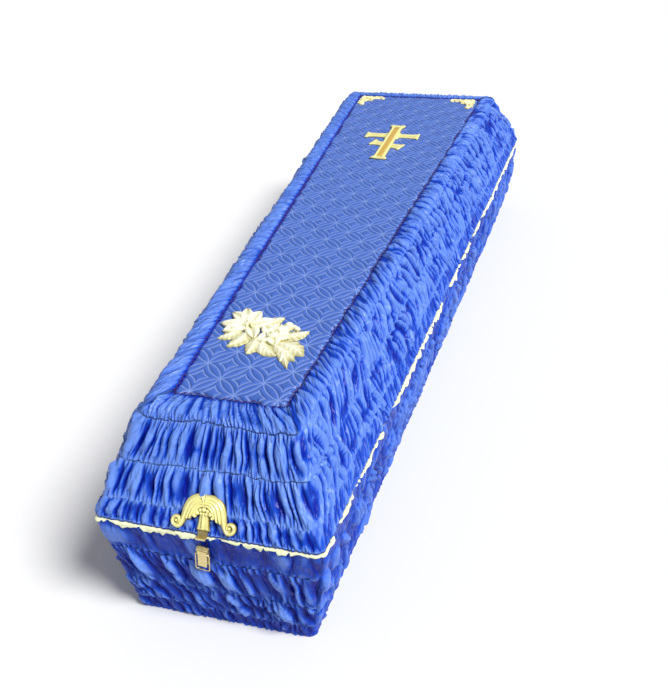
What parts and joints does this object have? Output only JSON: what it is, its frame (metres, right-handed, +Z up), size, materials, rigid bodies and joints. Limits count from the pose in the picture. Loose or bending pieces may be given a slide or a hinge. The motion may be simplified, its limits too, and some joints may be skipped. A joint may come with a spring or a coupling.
{
  "type": "cloth-covered coffin",
  "caption": "Four-sided tapered coffin in ruched blue satin, with a lift-off lid, a quilted top panel, a cross, a flower spray, gilt ornaments and a draw latch.",
  "frame": {"origin": "on the floor, in the middle of the coffin's length and width at its rim", "axes": "+Z up, +Y from the foot to the head, +X to the right seen from the foot"},
  "size_m": [0.7058, 2.0127, 0.4388],
  "materials": {
    "boards": "sawn softwood boards, unfinished",
    "satin": "royal-blue satin, ruched in gathered bands, soft sheen",
    "quilted_satin": "paler blue satin quilted on thin wadding",
    "lining_cloth": "thin cream cotton cloth with a raw edge",
    "gold_plastic": "moulded plastic with a bright gold coat",
    "pale_gold_plastic": "moulded plastic with a pale gold coat",
    "latch_metal": "brassed steel sheet and wire"
  },
  "bodies": {
    "coffin": {"box_boards": "boards", "box_cover": "satin", "lining": "lining_cloth", "lid_boards": "boards", "lid_cover": "satin", "quilted_panel": "quilted_satin", "cross": "gold_plastic", "flower_spray": "pale_gold_plastic", "corner_ornament_left": "pale_gold_plastic", "corner_ornament_right": "pale_gold_plastic", "scroll_plate": "gold_plastic", "hook_plate": "latch_metal", "latch_base": "latch_metal"},
    "lever": {"latch_lever": "latch_metal"},
    "loop": {"latch_loop": "latch_metal"}
  },
  "joints": [
    {"name": "latch_lever_hinge", "type": "hinge", "parent": "coffin", "child": "lever", "pos_m": [-0.004, -1.0054, 0.218], "axis": [-0.9877, 0, 0.1564], "range_deg": [0, 90]},
    {"name": "latch_loop_hinge", "type": "hinge", "parent": "lever", "child": "loop", "pos_m": [-0.00525, -1.0054, 0.2101], "axis": [-0.9877, 0, 0.1564], "range_deg": [0, 100]}
  ]
}
